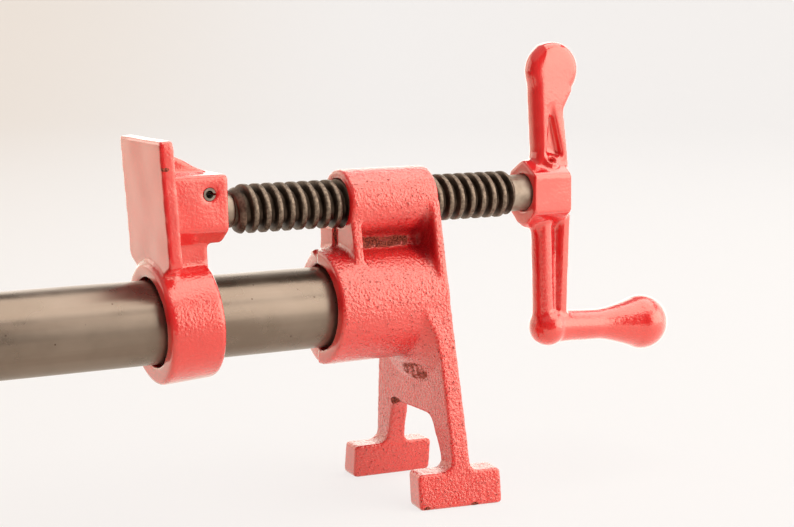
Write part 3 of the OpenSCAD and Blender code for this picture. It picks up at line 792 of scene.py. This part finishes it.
def painted_pin(node, name, mouth):
    """A pin that is painted over with its casting, with only a small mouth left open."""
    mesh = frame["nodes"][node].data
    points = points_of(mesh)
    centre = (points.min(axis=0) + points.max(axis=0)) / 2
    along = np.linalg.svd(points - points.mean(axis=0), full_matrices=False)[2][0]
    along *= -np.sign(along[1])
    half = np.abs((points - centre) @ along).max()
    radius = np.linalg.norm(np.cross(points - centre, along), axis=1).max()
    made = lathe([
        (-half, 0), (-half, radius - 0.3 * MM), (-half + 0.3 * MM, radius),
        (half - 0.5 * MM, radius), (half - 0.1 * MM, radius - 0.5 * MM),
        (half, mouth + 0.2 * MM), (half - 0.25 * MM, mouth), (half - 3 * MM, mouth), (half - 3 * MM, 0),
    ], 0, 48)
    turned = Vector(along).to_track_quat("X", "Z").to_matrix().to_4x4()
    made.transform(Matrix.Translation(centre) @ turned)
    made.shade_smooth()
    made.set_sharp_from_angle(angle=math.radians(50))
    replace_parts(link(name, made, body_of(node), RED), node)


dress("jaw_roll_pin", PIN_STEEL)
painted_pin("handle_roll_pin", "handle_pin_painted", 0.8 * MM)
for place in ("front", "middle", "rear"):
    edged(f"clutch_plate_{place}", f"plate_{place}", PLATE_STEEL, 0.35 * MM)

SPRING_TURNS = 4.5
WIRE_R = 0.9 * MM
PLATE_TILT = math.radians(7)
PLATE_T = 3 * MM
SEAT = 0.3 * MM  # clearance of the wire to the pipe and to the plate


def wire_point(share):
    """Middle of the spring's wire: on a circle, between the collar and the last tilted plate."""
    joints = frame["record"]["behaviour"]["joints"]
    rear = next(joint for joint in joints if joint["name"] == "clutch_release_rear")
    hinge_x, _, hinge_z = rear["pos_m"]
    radius = (PIPE_R + SEAT + WIRE_R) / math.cos(math.radians(22.5))
    angle = TURN * SPRING_TURNS * share
    z = PIPE_Z + radius * math.cos(angle)
    back = SPRING_BACK + WIRE_R + 0.01 * MM
    front = hinge_x + (hinge_z - z) * math.tan(PLATE_TILT)
    front -= (PLATE_T / 2 + WIRE_R + SEAT) / math.cos(PLATE_TILT)
    rise = share - 0.03 * math.sin(TURN * share)
    return Vector((back + (front - back) * rise, radius * math.sin(angle), z))


def make_spring():
    """The wound wire, from the collar to the last tilted plate."""
    rings, sides = 150, 16
    made = bmesh.new()
    grid = []
    for i in range(rings + 1):
        here, ahead = wire_point(i / rings), wire_point(min(1, (i + 1) / rings))
        behind = wire_point(max(0, (i - 1) / rings))
        along = (ahead - behind).normalized()
        out = Vector((0, here.y, here.z - PIPE_Z)).normalized()
        side = out.cross(along).normalized()
        angles = [TURN * k / sides for k in range(sides)]
        grid.append([
            made.verts.new(here + WIRE_R * (out * math.cos(a) + side * math.sin(a))) for a in angles
        ])
    for first, second in zip(grid, grid[1:]):
        for k in range(sides):
            n = (k + 1) % sides
            made.faces.new((first[k], first[n], second[n], second[k]))
    made.faces.new(grid[0])
    made.faces.new(grid[-1])
    bmesh.ops.recalc_face_normals(made, faces=made.faces)
    mesh = finished(made, "spring")
    mesh.shade_smooth()
    piece = link("spring_wire", mesh, body_of("clutch_spring"), SPRING_STEEL)
    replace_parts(piece, "clutch_spring")
    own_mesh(piece)


make_spring()

# ---------------------------------------------------------------- stage and light

FLOOR_REACH, WALL_HEIGHT, WALL_BEND = 3.0, 2.0, 0.8
DARK_SIDE = Vector((-0.9, -0.44, 0))
# painted reflection: the paper's glow as gloss sees it, beside the object, far away, and its share on
# the dark side
GLOSS_NEAR, GLOSS_FAR, GLOSS_DARK = 0.75, 1.15, 0.04
# tint of the painted reflection, warmer to the left
WARM_LEFT, WARM_RIGHT = (1.0, 0.87, 0.70, 1), (1.0, 0.94, 0.85, 1)
# the paper's colour, lit on the right and darker and warmer to the left: painted shade
PAPER_LIT_RIGHT, PAPER_SHADED_LEFT = rgb(250, 247, 245), rgb(243, 233, 223)
# the paper's glow as the camera sees it, and the share of it that takes shadow
CAMERA_SHARE, SHADOW_SHARE = 0.835, 0.15


def backdrop():
    """White paper, darker to the left as painted shade. For gloss its glow is a painted reflection,
    dark in one direction.
    """
    n = Nodes("backdrop_paper")
    path = n.add("ShaderNodeLightPath").outputs
    leftward = n.maths("SUBTRACT", n.maths("MULTIPLY", n.coordinate("X"), -0.873),
                       n.maths("MULTIPLY", n.coordinate("Y"), -0.488))
    # painted shade: the paper darker towards the back left
    white = n.mix(n.ramp(leftward, -0.1, 0.75), PAPER_LIT_RIGHT, PAPER_SHADED_LEFT)
    flat = n.add("ShaderNodeVectorMath", operation="MULTIPLY")
    n.join(n.point, flat.inputs[0])
    flat.inputs[1].default_value = (1, 1, 0)
    reach = n.add("ShaderNodeVectorMath", operation="LENGTH")
    n.join(flat.outputs["Vector"], reach.inputs[0])
    towards = n.add("ShaderNodeVectorMath", operation="NORMALIZE")
    n.join(flat.outputs["Vector"], towards.inputs[0])
    facing = n.add("ShaderNodeVectorMath", operation="DOT_PRODUCT")
    n.join(towards.outputs["Vector"], facing.inputs[0])
    facing.inputs[1].default_value = DARK_SIDE
    away = reach.outputs["Value"]
    # painted reflection: gloss sees less glow on the dark side, and more far away and towards the right
    darkly = n.ramp(facing.outputs["Value"], -0.20, 0.33)
    dark = n.maths("MULTIPLY", darkly, n.ramp(away, 0.22, 0.45))
    seen = n.ramp(away, 0.08, 0.55, GLOSS_NEAR, GLOSS_FAR)
    seen = n.maths("MULTIPLY", seen, n.ramp(n.coordinate("X"), -0.1, 0.5, 1.0, 1.75))
    left = n.maths("SUBTRACT", 1.0, n.maths("MULTIPLY", dark, 1 - GLOSS_DARK))
    gloss = n.maths("MULTIPLY", seen, left)
    strength = n.add("ShaderNodeMix")
    n.join(path["Is Camera Ray"], strength.inputs["Factor"])
    n.join(gloss, strength.inputs["A"])
    strength.inputs["B"].default_value = CAMERA_SHARE
    glow = n.add("ShaderNodeEmission")
    warm = n.mix(n.ramp(n.coordinate("X"), -0.35, 0.25), WARM_LEFT, WARM_RIGHT)
    n.join(n.mix(path["Is Camera Ray"], warm, white), glow.inputs["Color"])
    n.join(strength.outputs["Result"], glow.inputs["Strength"])
    lit = n.add("ShaderNodeBsdfDiffuse")
    n.join(n.mix(SHADOW_SHARE, (0, 0, 0, 1), white), lit.inputs["Color"])
    paper = n.add("ShaderNodeAddShader")
    n.join(glow.outputs[0], paper.inputs[0])
    n.join(lit.outputs[0], paper.inputs[1])
    mirrored = n.maths("MAXIMUM", path["Is Glossy Ray"], path["Is Transmission Ray"])
    shown = n.maths("MAXIMUM", path["Is Camera Ray"], mirrored)
    choice = n.add("ShaderNodeMixShader")
    n.join(shown, choice.inputs[0])
    n.join(n.shader.outputs[0], choice.inputs[1])
    n.join(paper.outputs[0], choice.inputs[2])
    n.join(choice.outputs[0], n.tree.nodes["Material Output"].inputs["Surface"])
    return n.finish(Base_Color=white, Roughness=0.9, Specular_IOR_Level=0.1)


def make_stage():
    """A round floor that curves up into a wall, pale, with painted shade that darkens it towards the
    back left.
    """
    level = FLOOR_REACH - WALL_BEND
    profile = [(0, 0), (level, 0)]
    profile += [
        (level + WALL_BEND * math.sin(a), WALL_BEND - WALL_BEND * math.cos(a))
        for a in (math.pi / 2 * i / 12 for i in range(1, 13))
    ]
    profile.append((FLOOR_REACH, WALL_HEIGHT))
    segments = 96
    made = bmesh.new()
    rings = []
    for radius, z in profile:
        count = segments if radius else 1
        angles = [TURN * i / segments for i in range(count)]
        rings.append([made.verts.new((radius * math.cos(a), radius * math.sin(a), z)) for a in angles])
    for first, second in zip(rings, rings[1:]):
        for i in range(segments):
            j = (i + 1) % segments
            corners = [first[i % len(first)], first[j % len(first)], second[j], second[i]]
            made.faces.new(list(dict.fromkeys(corners)))
    mesh = finished(made, "floor")
    mesh.shade_smooth()
    mesh.materials.append(backdrop())
    floor = bpy.data.objects.new("floor", mesh)
    bpy.context.scene.collection.objects.link(floor)


AIM = (0.03, 0, 0.08)
LAMP_COLOUR = (1, 0.95, 0.87)
LAMPS = [  # name, place, what it points at, size and watts
    ("overhead", (0.8, -0.3, 1.35), (0.8, -0.3, 0), (1.4, 1.9), 22),
    ("back_left", (-1.0, 1.1, 0.5), AIM, (1.4, 0.9), 4),
    ("front_right", (1.4, -1.3, 0.7), AIM, (2.0, 1.5), 16),
]
WORLD_COLOUR, WORLD_STRENGTH = (1.0, 0.95, 0.90, 1), 0.45


def soft_box(name, at, target, size, watts):
    """A rectangular lamp that the camera doesn't see."""
    data = bpy.data.lights.new(name, "AREA")
    data.shape = "RECTANGLE"
    data.size, data.size_y = size
    data.energy = watts
    data.color = LAMP_COLOUR
    lamp = bpy.data.objects.new(name, data)
    lamp.location = at
    lamp.rotation_mode = "QUATERNION"
    lamp.rotation_quaternion = (Vector(target) - Vector(at)).to_track_quat("-Z", "Y")
    lamp.visible_camera = False
    bpy.context.scene.collection.objects.link(lamp)


def make_light():
    """An even world and the lamps."""
    world = bpy.data.worlds.new("studio")
    world.use_nodes = True
    background = world.node_tree.nodes["Background"]
    background.inputs["Color"].default_value = WORLD_COLOUR
    background.inputs["Strength"].default_value = WORLD_STRENGTH
    bpy.context.scene.world = world
    for lamp in LAMPS:
        soft_box(*lamp)


make_stage()
make_light()
